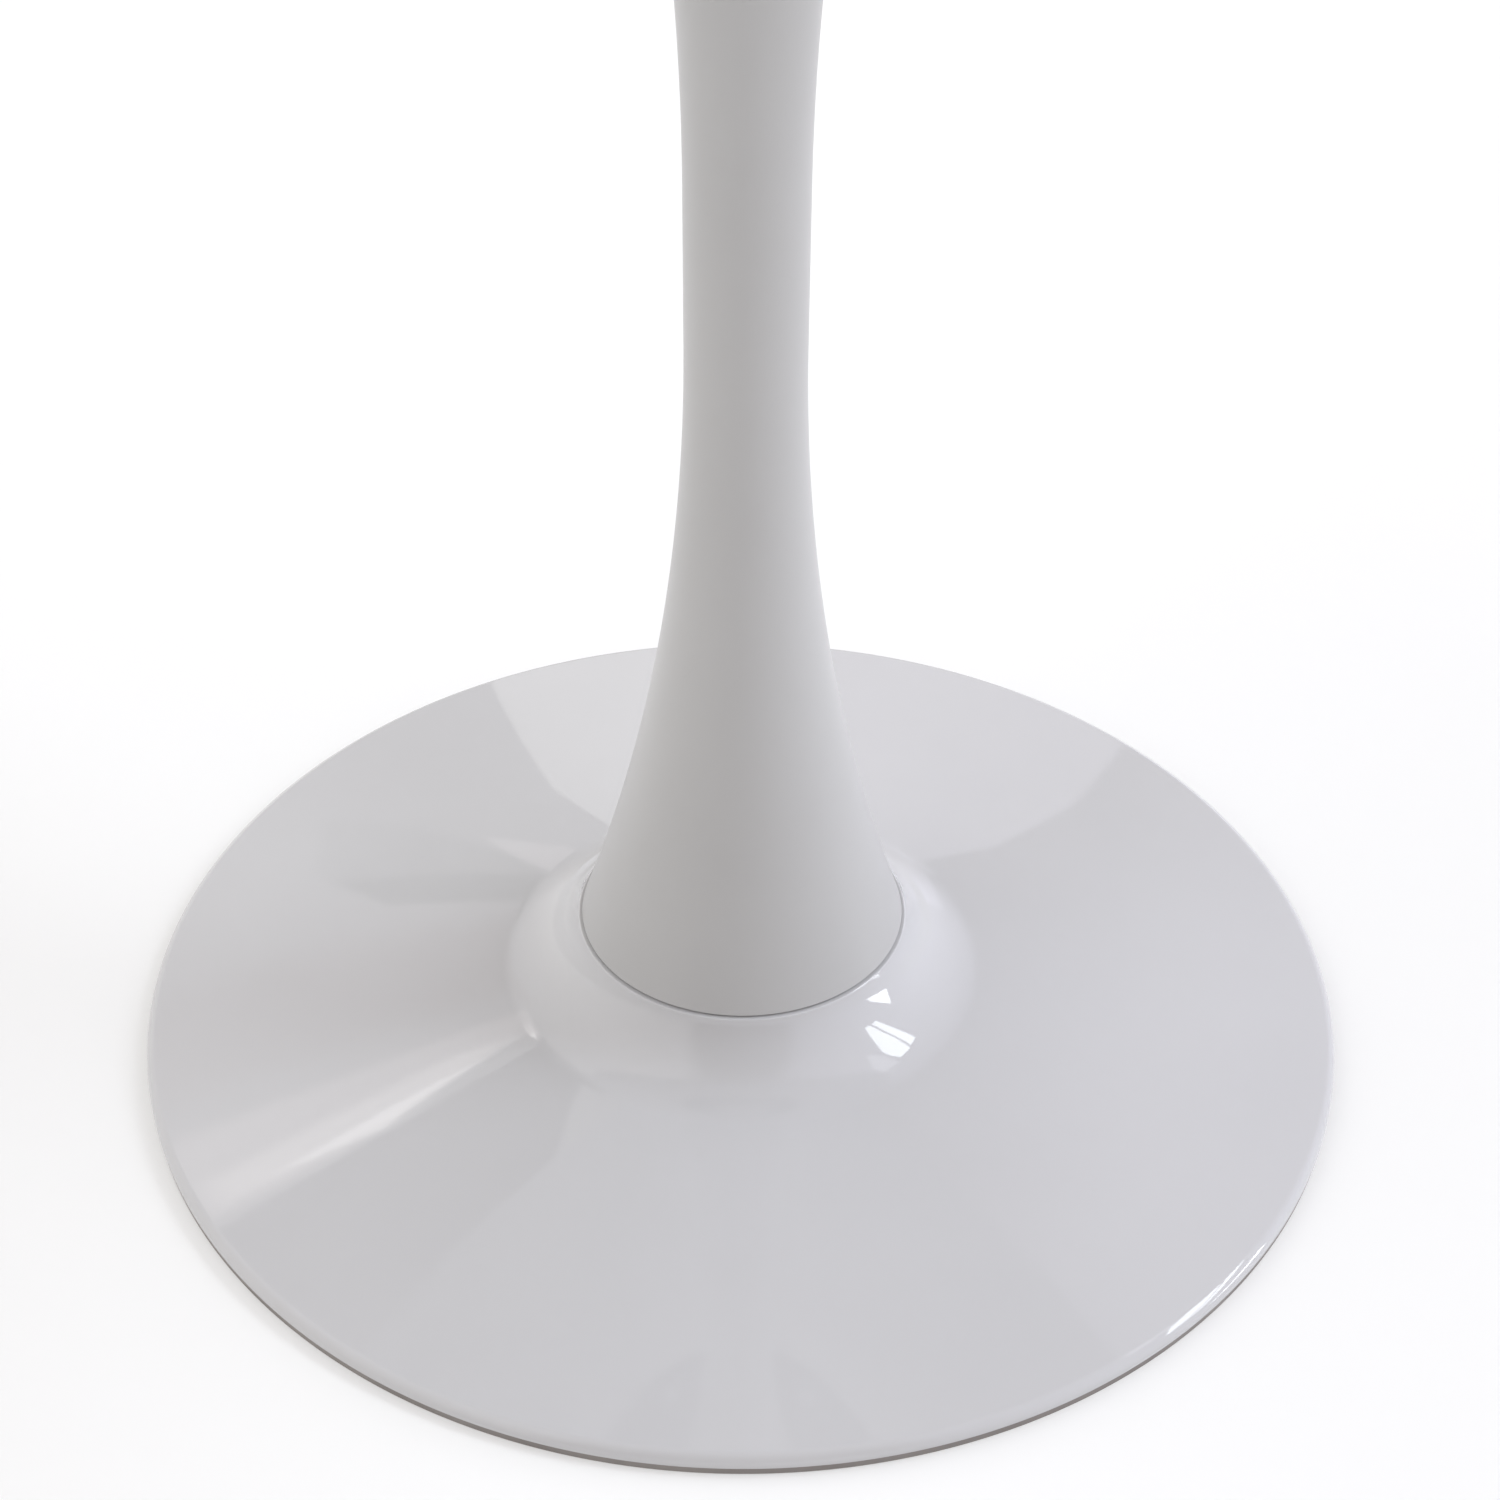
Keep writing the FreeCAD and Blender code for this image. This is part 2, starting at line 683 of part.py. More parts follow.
def table_top():
    """The round top with an upright edge band over a shallow bevel, recessed for the upper nut."""
    body = new_body("table_top", TOP_UNDERSIDE)
    rim = "dims.top_diameter / 2"
    band_foot = "(dims.top_thickness - dims.edge_band)"
    turn(
        body,
        [
            ("0", "0"),
            (f"{rim} - dims.edge_bevel_width", "0"),
            (rim, band_foot),
            (rim, "dims.top_thickness"),
            ("0", "dims.top_thickness"),
        ],
    )
    round_edge(body, "dims.edge_upper_rounding", rim, "dims.top_thickness")
    round_edge(body, "dims.edge_lower_rounding", rim, band_foot)
    bore(body, "dims.nut_recess_diameter", depth="dims.nut_recess_depth")
    hole = bore(body, "dims.insert_diameter", "dims.plate_screw_circle / 2", "dims.insert_hole_depth")
    repeat(body, [hole], "dims.plate_screw_count")


# ---- build, check and write ---------------------------------------------------------------------

def check():
    """Refuse a model with a failed feature, a loose sketch, a cut that cuts nothing or a bad solid."""
    for item in doc.Objects:
        if {"Invalid", "Error"} & set(item.State):
            raise RuntimeError(f"{item.Label} failed: {item.State}")
        if item.isDerivedFrom("Sketcher::SketchObject") and not item.FullyConstrained:
            raise RuntimeError(f"{item.Label} is not fully constrained")
        if item.TypeId in ("PartDesign::Pocket", "PartDesign::Groove"):
            if item.Shape.Volume >= item.BaseFeature.Shape.Volume:
                raise RuntimeError(f"{item.Label} cuts nothing")
    for body in bodies():
        if body.Shape.isNull() or not body.Shape.isValid() or not body.Shape.Solids:
            raise RuntimeError(f"{body.Label} has no valid solid")


def bodies():
    """Every sub-part of the table."""
    return [item for item in doc.Objects if item.TypeId == "PartDesign::Body"]


foot_shell()
floor_ring()
glide_pads()
ballast_plate()
hub_flange()
hub_tube()
hub_top_disc()
hub_gussets()
hub_screws()
seam_gasket()
stem_shell()
stem_disc("stem_foot_disc", STEM_BOTTOM, LOWER_FLARE, "dims.waist_lower_height")
stem_disc("stem_top_disc", STEM_TOP_DISC, UPPER_FLARE, "dims.waist_upper_height")
centring_ring()
tie_rod()
rod_nut("lower_nut", LOWER_NUT)
lower_spring_washer()
rod_washer("lower_washer", LOWER_WASHER)
rod_washer("upper_washer", TOP_UNDERSIDE)
rod_nut("upper_nut", UPPER_NUT)
mounting_plate()
plate_screws()
plate_flat_washers()
plate_spring_washers()
top_inserts()
table_top()
doc.recompute()
check()

os.makedirs("parts", exist_ok=True)
for body in bodies():
    body.Shape.exportStep(f"parts/{body.Label}.step")
    print(f"{body.Label}: {len(body.Shape.Solids)} solid(s), {body.Shape.Volume / 1000:.1f} cm3")
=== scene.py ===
import json
import math

import bmesh
import bpy
from mathutils import Matrix, Vector


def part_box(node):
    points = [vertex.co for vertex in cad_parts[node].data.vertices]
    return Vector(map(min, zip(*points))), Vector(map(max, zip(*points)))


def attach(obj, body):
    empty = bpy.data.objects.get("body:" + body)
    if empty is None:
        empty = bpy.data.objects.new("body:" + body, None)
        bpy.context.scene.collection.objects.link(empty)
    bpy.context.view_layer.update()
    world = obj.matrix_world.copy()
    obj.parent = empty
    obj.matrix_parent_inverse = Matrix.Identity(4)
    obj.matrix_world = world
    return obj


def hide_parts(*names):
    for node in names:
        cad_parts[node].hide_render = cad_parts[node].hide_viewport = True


# Looks of the round pedestal table: dense turned meshes for the pieces that show, procedural
# materials for all pieces, a pale floor, a studio lit by cards and a camera. Metres, +Z up.

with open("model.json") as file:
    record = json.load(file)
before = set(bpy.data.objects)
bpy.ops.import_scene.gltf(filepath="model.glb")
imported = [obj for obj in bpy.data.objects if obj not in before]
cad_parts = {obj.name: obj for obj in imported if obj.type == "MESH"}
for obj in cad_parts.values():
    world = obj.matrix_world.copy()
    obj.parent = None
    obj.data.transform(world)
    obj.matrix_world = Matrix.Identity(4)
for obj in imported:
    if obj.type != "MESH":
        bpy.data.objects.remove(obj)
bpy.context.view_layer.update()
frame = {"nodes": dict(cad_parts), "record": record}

# Sizes that the frame's boxes don't give
FOOT_WALL = 0.002
RIM_ROUNDING = 0.0045
RIM_UPRIGHT = 0.0007
DISH_SLOPE = math.radians(6.5)
NECK_ROUNDING = 0.0387
SHOULDER_LEDGE = 0.0015
SHOULDER_ROUNDING = 0.0008
LEDGE_BORE = 0.012
STEM_FOOT_RADIUS = 0.0664
STEM_WALL = 0.0025
WAIST_RADIUS = 0.0225
WAIST_LOW = 0.320
WAIST_HIGH = 0.385
RING_FLANGE = 0.0037
RING_WIDTH = 0.013
RING_BEAD = 0.005
RING_PLAY = 0.0003
RING_EDGE = 0.0004
RING_FOOT_EDGE = 0.0006
RING_SEAT_EDGE = 0.0002
GASKET_WIDTH = 0.020
TOP_BEVEL_WIDTH = 0.050
TOP_EDGE_BAND = 0.009
TOP_UPPER_ROUNDING = 0.002
TOP_LOWER_ROUNDING = 0.003
TOP_BEVEL_ROUNDING = 0.006
NUT_RECESS_RADIUS = 0.023
NUT_RECESS_DEPTH = 0.018
GASKET_ROUNDING = 0.9
INSERT_RADIUS = 0.005
INSERT_HOLE_DEPTH = 0.016
PAD_CIRCLE = 0.150
PAD_RADIUS = 0.020
PAD_WORN_EDGE = 0.0008
PAD_GLUED_EDGE = 0.0003
ACCESS_RADIUS = 0.030
BALLAST_BORE_EDGE = 0.0006
BALLAST_EDGE = 0.0010
HUB_SCREW_CIRCLE = 0.075
HUB_SCREW_HEAD = 0.008
HUB_SCREW_SHANK = 0.004
HUB_SCREW_HOLE = 0.0045
HUB_SCREW_SOCKET = 0.0025
HUB_SCREW_SOCKET_DEPTH = 0.003
HUB_SCREW_SOCKET_POINT = 0.0008
HUB_SCREW_SOCKET_MOUTH = 1.3
HUB_SCREW_EDGE = 0.0003
HUB_SCREW_RIM = 0.0001
COUNTERSINK_PLAY = 0.001
PLATE_SCREW_CIRCLE = 0.120
PLATE_SCREW_FLAT = 0.005
PLATE_SCREW_HEAD = 0.004
PLATE_SCREW_SHANK = 0.003
PLATE_SCREW_HOLE = 0.0035
PLATE_SCREW_CROWN = 0.95
PLATE_SCREW_DISH = 0.7
PLATE_SCREW_DISH_RIM = 0.8
PLATE_SCREW_DISH_DEPTH = 0.0003
PLATE_BORE_EDGE = 0.0004
PLATE_EDGE = 0.0008
PLATE_WASHER_RADIUS = 0.006
ROD_RADIUS = 0.006
ROD_CHAMFER = 0.001
ROD_HOLE = 0.007
THREAD_LENGTH = 0.030
THREAD_PITCH = 0.00175
THREAD_DEPTH = 0.00107
THREAD_CREST = 0.125
THREAD_FLANK = 0.625
NUT_FLAT = 0.009
NUT_CROWN = 0.97
NUT_MOUTH = 0.0006
CORNER_SLOPE = math.tan(math.radians(30))
ROD_WASHER_RADIUS = 0.015
WASHER_ROUNDING = 0.2
PIECE_COUNT = 6
CUT_PAST = 0.001

# How finely the meshes are cut
SEGMENTS = 384
DISC_SEGMENTS = 192
ROUND_SEGMENTS = 96
SMALL_SEGMENTS = 72
HOLE_SEGMENTS = 48
ROD_SEGMENTS = 60
THREAD_STEPS = 10
ARC_STEP = math.radians(2.5)
LONGEST_STEP = 0.004
SHARP_ANGLE = math.radians(32)
SAME_PLACE = 1e-7
ON_AXIS = 1e-6


# ---- outlines -----------------------------------------------------------------------------------

def arc(centre, radius, start, end):
    """Points along an arc from one angle to another, in an outline's radius and height."""
    sweep = abs(end - start)
    count = math.ceil(max(2, sweep / ARC_STEP, sweep * radius / LONGEST_STEP))
    angles = [start + (end - start) * k / count for k in range(count + 1)]
    return [(centre[0] + radius * math.cos(a), centre[1] + radius * math.sin(a)) for a in angles]


def rounded(corners):
    """An outline through corners (radius, height) or (radius, height, rounding), in order."""
    points = []
    for index, corner in enumerate(corners):
        place = Vector(corner[:2])
        if len(corner) < 3:
            points.append(tuple(place))
            continue
        into = (place - Vector(corners[index - 1][:2])).normalized()
        out = (Vector(corners[(index + 1) % len(corners)][:2]) - place).normalized()
        turn = math.atan2(into.x * out.y - into.y * out.x, into.dot(out))
        side = math.copysign(1, turn)
        first = place - into * corner[2] * math.tan(abs(turn) / 2)
        centre = first + Vector((-into.y, into.x)) * corner[2] * side
        start = math.atan2(first.y - centre.y, first.x - centre.x)
        points += arc(centre, corner[2], start, start + turn)
    return points


# ---- meshes -------------------------------------------------------------------------------------

def finish_mesh(name, mesh_data):
    """A smooth-shaded object from a bmesh, with its real corners left sharp."""
    bmesh.ops.remove_doubles(mesh_data, verts=mesh_data.verts, dist=SAME_PLACE)
    bmesh.ops.recalc_face_normals(mesh_data, faces=mesh_data.faces)
    for face in mesh_data.faces:
        face.smooth = True
    for edge in mesh_data.edges:
        edge.smooth = len(edge.link_faces) == 2 and edge.calc_face_angle() < SHARP_ANGLE
    mesh = bpy.data.meshes.new(name)
    mesh_data.to_mesh(mesh)
    mesh_data.free()
    piece = bpy.data.objects.new(name, mesh)
    bpy.context.scene.collection.objects.link(piece)
    return piece


def lathe(name, outline, segments=SEGMENTS, circle=0.0, count=1):
    """Turn a closed outline of (radius, height) points about an upright axis.

    An outline that changes on the way round is a function of the angle. The piece is repeated
    count times on a circle about the table's axis, turned to face outward.
    """
    mesh_data = bmesh.new()
    angles = [math.tau * k / segments for k in range(segments)]
    outlines = [outline(a) if callable(outline) else outline for a in angles]
    for copy in range(count):
        facing = math.tau * copy / count
        centre = Vector((circle * math.cos(facing), circle * math.sin(facing)))
        rings = []
        for step in range(len(outlines[0])):
            if outlines[0][step][0] < ON_AXIS:
                rings.append([mesh_data.verts.new((*centre, outlines[0][step][1]))] * segments)
                continue
            ring = []
            for angle, points in zip(angles, outlines):
                radius, height = points[step]
                ring.append(mesh_data.verts.new((
                    centre.x + radius * math.cos(angle + facing),
                    centre.y + radius * math.sin(angle + facing),
                    height,
                )))
            rings.append(ring)
        for ring, following in zip(rings, rings[1:] + rings[:1]):
            for k in range(segments):
                after = (k + 1) % segments
                corners = [ring[k], ring[after], following[after], following[k]]
                corners = list(dict.fromkeys(corners))
                if len(corners) > 2:
                    mesh_data.faces.new(corners)
    return finish_mesh(name, mesh_data)


def drill(piece, cutter):
    """Cut one turned piece out of another, and drop the cutter."""
    cut = piece.modifiers.new("drill", "BOOLEAN")
    cut.object = cutter
    evaluated = piece.evaluated_get(bpy.context.evaluated_depsgraph_get())
    mesh_data = bmesh.new()
    mesh_data.from_mesh(evaluated.data)
    name = piece.name
    for used in (piece, cutter):
        mesh = used.data
        bpy.data.objects.remove(used)
        bpy.data.meshes.remove(mesh)
    return finish_mesh(name, mesh_data)


def stand_for(piece, node, material):
    """Let a piece take a CAD node's place and material."""
    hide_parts(node)
    piece.data.materials.append(material)
    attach(piece, "root")


# ---- materials ----------------------------------------------------------------------------------

class Paint:
    """One node material around a Principled shader, built a few nodes at a time."""

    def __init__(self, name, **settings):
        self.material = bpy.data.materials.new(name)
        self.material.use_nodes = True
        self.nodes = self.material.node_tree.nodes
        self.links = self.material.node_tree.links
        self.shader = self.nodes["Principled BSDF"]
        for socket, value in settings.items():
            self.shader.inputs[socket.replace("_", " ")].default_value = value
        self.place = self.nodes.new("ShaderNodeTexCoord").outputs["Object"]

    def add(self, kind, inputs, output=0, **settings):
        """Add a node, set or link its inputs, and give one of its outputs."""
        node = self.nodes.new(kind)
        for name, value in settings.items():
            setattr(node, name, value)
        for socket, value in inputs.items():
            if isinstance(value, bpy.types.NodeSocket):
                self.links.new(value, node.inputs[socket])
            else:
                node.inputs[socket].default_value = value
        return node.outputs[output]

    def noise(self, size, detail=2.0, roughness=0.5):
        """Smooth noise from 0 to 1 with features of about this size in metres."""
        return self.add("ShaderNodeTexNoise", {
            "Vector": self.place, "Scale": 1 / size, "Detail": detail, "Roughness": roughness})

    def specks(self, spacing, size):
        """1 in small round specks, scattered at about this spacing, and 0 between them."""
        distance = self.add("ShaderNodeTexVoronoi", {"Vector": self.place, "Scale": 1 / spacing})
        return self.ramp(distance, [(0.0, 1.0), (size / spacing, 0.0)])

    def ramp(self, factor, stops):
        """Map a factor through (place, grey or colour) stops."""
        node = self.nodes.new("ShaderNodeValToRGB")
        self.links.new(factor, node.inputs["Fac"])
        elements = node.color_ramp.elements
        while len(elements) < len(stops):
            elements.new(1.0)
        for element, (place, shade) in zip(elements, stops):
            element.position = place
            element.color = (shade, shade, shade, 1) if isinstance(shade, float) else (*shade, 1)
        return node.outputs["Color"]

    def between(self, factor, low, high):
        """A number that runs from low to high as the factor runs from 0 to 1."""
        return self.add("ShaderNodeMapRange", {"Value": factor, "To Min": low, "To Max": high})

    def bump(self, height, depth, under=None):
        """A normal that is raised by up to this depth in metres, over another one."""
        inputs = {"Height": height, "Distance": depth}
        if under is not None:
            inputs["Normal"] = under
        return self.add("ShaderNodeBump", inputs)

    def link(self, **sockets):
        """Drive the shader's sockets with node outputs."""
        for socket, output in sockets.items():
            self.links.new(output, self.shader.inputs[socket.replace("_", " ")])
        return self.material


def gloss_paint():
    """High-gloss white paint on the spun dish: faint orange peel, dust nibs, uneven by a shade."""
    paint = Paint("foot_gloss_paint", Roughness=0.025)
    tone = paint.noise(0.12, detail=3.0)
    shade = paint.ramp(tone, [(0.3, (0.521, 0.520, 0.532)), (0.7, (0.537, 0.536, 0.548))])
    peel = paint.bump(paint.noise(0.0045, detail=1.0), 0.000004)
    nibs = paint.bump(paint.specks(0.05, 0.0008), 0.00006, under=peel)
    return paint.link(Base_Color=shade, Normal=nibs)


def satin_paint():
    """Satin powder coat of the stem: a fine pebbled skin that blurs what it mirrors."""
    paint = Paint("stem_satin_paint", Roughness=0.36)
    tone = paint.noise(0.09, detail=3.0)
    shade = paint.ramp(tone, [(0.3, (0.450, 0.447, 0.445)), (0.7, (0.466, 0.463, 0.461))])
    skin = paint.bump(paint.noise(0.0011, detail=2.0), 0.000018)
    skin = paint.bump(paint.noise(0.009, detail=1.0), 0.00002, under=skin)
    rough = paint.between(paint.noise(0.02), 0.33, 0.40)
    return paint.link(Base_Color=shade, Normal=skin, Roughness=rough)


def top_lacquer():
    """Silky white lacquer on the top, rolled smooth over its rounded edges."""
    paint = Paint("top_lacquer", Roughness=0.22)
    tone = paint.noise(0.2, detail=3.0)
    shade = paint.ramp(tone, [(0.3, (0.590, 0.590, 0.590)), (0.7, (0.615, 0.615, 0.615))])
    peel = paint.bump(paint.noise(0.004, detail=2.0), 0.00002)
    rough = paint.between(paint.noise(0.03), 0.19, 0.26)
    return paint.link(Base_Color=shade, Normal=peel, Roughness=rough)


def ring_vinyl():
    """Matt warm grey vinyl of the floor ring, with a fine moulded grain and scuffed dust."""
    paint = Paint("floor_ring_vinyl", Roughness=0.62)
    tone = paint.noise(0.03, detail=4.0)
    shade = paint.ramp(tone, [(0.3, (0.200, 0.182, 0.172)), (0.7, (0.245, 0.226, 0.214))])
    grain = paint.bump(paint.noise(0.0007, detail=2.0), 0.00005)
    rough = paint.between(paint.noise(0.006), 0.55, 0.72)
    return paint.link(Base_Color=shade, Normal=grain, Roughness=rough)


def seam_rubber():
    """Grey matt rubber of the seam gasket; its grey, darker than the paint, is partly its own
    colour and partly painted shade of the seam's gap.
    """
    paint = Paint("seam_rubber", Roughness=0.7)
    shade = paint.ramp(paint.noise(0.004, detail=3.0), [(0.3, 0.28), (0.7, 0.34)])
    grain = paint.bump(paint.noise(0.0006, detail=2.0), 0.00004)
    return paint.link(Base_Color=shade, Normal=grain)


def pad_felt():
    """Pressed dark felt, matted from short crossing fibres."""
    paint = Paint("pad_felt", Roughness=0.95, Sheen_Weight=0.4, Sheen_Roughness=0.5)
    fibres = paint.noise(0.0009, detail=6.0, roughness=0.8)
    shade = paint.ramp(fibres, [(0.35, (0.012, 0.012, 0.013)), (0.65, (0.06, 0.06, 0.063))])
    nap = paint.bump(fibres, 0.0004)
    return paint.link(Base_Color=shade, Normal=nap)


def black_enamel(name, lumps):
    """Satin black paint over rolled or cut steel, with a little texture and dust."""
    paint = Paint(name, Roughness=0.45)
    tone = paint.noise(0.05, detail=5.0)
    shade = paint.ramp(tone, [(0.3, (0.011, 0.011, 0.012)), (0.75, (0.028, 0.028, 0.029))])
    skin = paint.bump(paint.noise(0.0018, detail=3.0), lumps)
    rough = paint.between(paint.noise(0.012, detail=3.0), 0.36, 0.56)
    return paint.link(Base_Color=shade, Normal=skin, Roughness=rough)


def zinc():
    """Bright zinc plating with its faint cloudy spangle and fine draw marks."""
    paint = Paint("zinc_steel", Metallic=1.0, Roughness=0.3)
    cloud = paint.noise(0.004, detail=4.0)
    shade = paint.ramp(cloud, [(0.3, (0.52, 0.54, 0.56)), (0.7, (0.68, 0.69, 0.70))])
    marks = paint.bump(paint.noise(0.0004, detail=3.0), 0.000012)
    rough = paint.between(cloud, 0.24, 0.40)
    return paint.link(Base_Color=shade, Normal=marks, Roughness=rough)


def brass():
    """Plain turned brass, a little dulled."""
    paint = Paint("insert_brass", Metallic=1.0, Roughness=0.35)
    cloud = paint.noise(0.003, detail=4.0)
    shade = paint.ramp(cloud, [(0.3, (0.55, 0.38, 0.14)), (0.7, (0.72, 0.53, 0.24))])
    rough = paint.between(cloud, 0.28, 0.45)
    return paint.link(Base_Color=shade, Roughness=rough)


# ---- turned pieces ------------------------------------------------------------------------------

def foot_shell():
    """The spun dish: rim, shallow cone, hollow neck and ledge, two millimetres thick."""
    low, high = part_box("foot_shell")
    rim_centre = Vector((high.x - RIM_ROUNDING, low.z + RIM_UPRIGHT))
    shoulder = Vector((STEM_FOOT_RADIUS + SHOULDER_LEDGE, high.z))
    outward = Vector((math.cos(DISH_SLOPE), -math.sin(DISH_SLOPE)))
    upward = Vector((math.sin(DISH_SLOPE), math.cos(DISH_SLOPE)))
    rise = upward.dot(shoulder - rim_centre) - RIM_ROUNDING
    run = math.sqrt(2 * NECK_ROUNDING * rise - rise ** 2)
    neck_centre = shoulder + outward * run + upward * (NECK_ROUNDING - rise)
    rim_end = math.pi / 2 - DISH_SLOPE
    neck_start = -math.pi / 2 - DISH_SLOPE

    drop = neck_centre.y - high.z + SHOULDER_ROUNDING
    lean = math.asin(drop / (NECK_ROUNDING + SHOULDER_ROUNDING))
    edge_centre = neck_centre - Vector((math.cos(lean), math.sin(lean))) * (
        NECK_ROUNDING + SHOULDER_ROUNDING)
    inner_neck = NECK_ROUNDING + FOOT_WALL
    inner_lean = math.asin((neck_centre.y - high.z + FOOT_WALL) / inner_neck)

    outline = [(high.x, low.z)]
    outline += arc(rim_centre, RIM_ROUNDING, 0, rim_end)
    outline += arc(neck_centre, NECK_ROUNDING, neck_start, lean - math.pi)
    outline += arc(edge_centre, SHOULDER_ROUNDING, lean, math.pi / 2)
    outline += [(LEDGE_BORE, high.z), (LEDGE_BORE, high.z - FOOT_WALL)]
    outline += arc(neck_centre, inner_neck, inner_lean - math.pi, neck_start)
    outline += arc(rim_centre, RIM_ROUNDING - FOOT_WALL, rim_end, 0)
    outline += [(high.x - FOOT_WALL, low.z)]
    return lathe("dish_foot", outline)


def floor_ring():
    """The soft ring under the rim, with the bead that keeps it inside."""
    low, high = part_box("floor_ring")
    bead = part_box("foot_shell")[1].x - FOOT_WALL - RING_PLAY
    inner = high.x - RING_WIDTH
    return lathe("soft_ring", rounded([
        (inner, 0, RING_EDGE),
        (high.x, 0, RING_FOOT_EDGE),
        (high.x, RING_FLANGE, RING_SEAT_EDGE),
        (bead, RING_FLANGE),
        (bead, RING_FLANGE + RIM_UPRIGHT),
        (bead - RING_BEAD / 2, high.z, RING_EDGE),
        (bead - RING_BEAD, high.z, RING_EDGE),
        (bead - RING_BEAD, RING_FLANGE),
        (inner, RING_FLANGE, RING_EDGE),
    ]))


def flare(end_radius, end_height, waist_height):
    """The centre and radius of the arc that leaves the waist upright and reaches an end."""
    growth = end_radius - WAIST_RADIUS
    radius = (growth ** 2 + (end_height - waist_height) ** 2) / (2 * growth)
    return Vector((WAIST_RADIUS + radius, waist_height)), radius


def stem_shell():
    """The trumpet stem: two flares that meet a straight waist, one sheet thick."""
    low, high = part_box("stem_shell")
    lower, lower_radius = flare(STEM_FOOT_RADIUS, low.z, WAIST_LOW)
    upper, upper_radius = flare(high.x, high.z, WAIST_HIGH)

    def side(offset):
        foot_angle = math.asin((WAIST_LOW - low.z) / (lower_radius + offset)) - math.pi
        head_angle = math.pi - math.asin((high.z - WAIST_HIGH) / (upper_radius + offset))
        points = arc(lower, lower_radius + offset, foot_angle, -math.pi)
        return points + arc(upper, upper_radius + offset, math.pi, head_angle)

    return lathe("trumpet_stem", side(0) + side(STEM_WALL)[::-1])


def seam_gasket():
    """The gasket that shows as a dark line in the seam, slightly squeezed; the line is partly
    painted shade of the gap.
    """
    low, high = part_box("seam_gasket")
    bulge = (high.z - low.z) / 2 * GASKET_ROUNDING
    inner = high.x - GASKET_WIDTH
    return lathe("seam_ring", rounded([
        (inner, low.z), (high.x, low.z, bulge), (high.x, high.z, bulge), (inner, high.z),
    ]))


def table_top():
    """The round top: flat, with an upright band over a shallow bevel and a recess for the nut."""
    low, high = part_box("table_top")
    band_foot = high.z - TOP_EDGE_BAND
    top = lathe("round_top", rounded([
        (0, low.z + NUT_RECESS_DEPTH),
        (NUT_RECESS_RADIUS, low.z + NUT_RECESS_DEPTH),
        (NUT_RECESS_RADIUS, low.z),
        (high.x - TOP_BEVEL_WIDTH, low.z, TOP_BEVEL_ROUNDING),
        (high.x, band_foot, TOP_LOWER_ROUNDING),
        (high.x, high.z, TOP_UPPER_ROUNDING),
        (0, high.z),
    ]))
    hole_top = low.z + INSERT_HOLE_DEPTH
    return drill(top, lathe("insert_holes", [
        (0, low.z - CUT_PAST), (INSERT_RADIUS, low.z - CUT_PAST),
        (INSERT_RADIUS, hole_top), (0, hole_top),
    ], HOLE_SEGMENTS, PLATE_SCREW_CIRCLE, PIECE_COUNT))


# ---- hardware -----------------------------------------------------------------------------------

def hexagon(flat, angle):
    """How far a hexagon's side is from its centre at an angle from one of its corners."""
    return flat / math.cos(angle % (math.pi / 3) - math.pi / 6)


def washers(name, node, outer, inner, circle=0.0, count=1):
    """Flat washers with the soft edges that stamping and plating leave."""
    low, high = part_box(node)
    soft = (high.z - low.z) * WASHER_ROUNDING
    return lathe(name, rounded([
        (inner, low.z, soft), (outer, low.z, soft), (outer, high.z, soft), (inner, high.z, soft),
    ]), SMALL_SEGMENTS, circle, count)


def glide_pads():
    """Felt pads, their edges a little rounded by wear."""
    low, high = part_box("glide_pads")
    return lathe("felt_pads", rounded([
        (0, low.z), (PAD_RADIUS, low.z, PAD_WORN_EDGE),
        (PAD_RADIUS, high.z, PAD_GLUED_EDGE), (0, high.z),
    ]), ROUND_SEGMENTS, PAD_CIRCLE, PIECE_COUNT)


def ballast_plate():
    """The cut steel disc with softened edges, countersunk for its screws."""
    low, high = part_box("ballast_plate")
    plate = lathe("weight_disc", rounded([
        (ACCESS_RADIUS, low.z, BALLAST_BORE_EDGE), (high.x, low.z, BALLAST_EDGE),
        (high.x, high.z, BALLAST_EDGE), (ACCESS_RADIUS, high.z, BALLAST_BORE_EDGE),
    ]), DISC_SEGMENTS)
    return drill(plate, lathe("countersinks", [
        (0, low.z - CUT_PAST),
        (HUB_SCREW_HEAD + COUNTERSINK_PLAY, low.z - CUT_PAST),
        (HUB_SCREW_HOLE, low.z + HUB_SCREW_HEAD - HUB_SCREW_HOLE),
        (HUB_SCREW_HOLE, high.z + CUT_PAST),
        (0, high.z + CUT_PAST),
    ], HOLE_SEGMENTS, HUB_SCREW_CIRCLE, PIECE_COUNT))


def hub_screws():
    """Countersunk screws with a hexagon socket."""
    low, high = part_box("hub_screws")
    neck = low.z + HUB_SCREW_HEAD - HUB_SCREW_SHANK
    socket_floor = low.z + HUB_SCREW_SOCKET_DEPTH
    rim = HUB_SCREW_HEAD - HUB_SCREW_RIM

    def outline(angle):
        socket = hexagon(HUB_SCREW_SOCKET, angle)
        return [
            (0, socket_floor + HUB_SCREW_SOCKET_POINT),
            (HUB_SCREW_SOCKET, socket_floor),
            (socket, socket_floor),
            (socket, low.z + HUB_SCREW_EDGE),
            (HUB_SCREW_SOCKET * HUB_SCREW_SOCKET_MOUTH, low.z),
            (rim - HUB_SCREW_EDGE, low.z),
            (rim, low.z + HUB_SCREW_EDGE),
            (HUB_SCREW_SHANK, neck),
            (HUB_SCREW_SHANK, high.z),
            (0, high.z),
        ]

    return lathe("socket_screws", outline, SMALL_SEGMENTS, HUB_SCREW_CIRCLE, PIECE_COUNT)


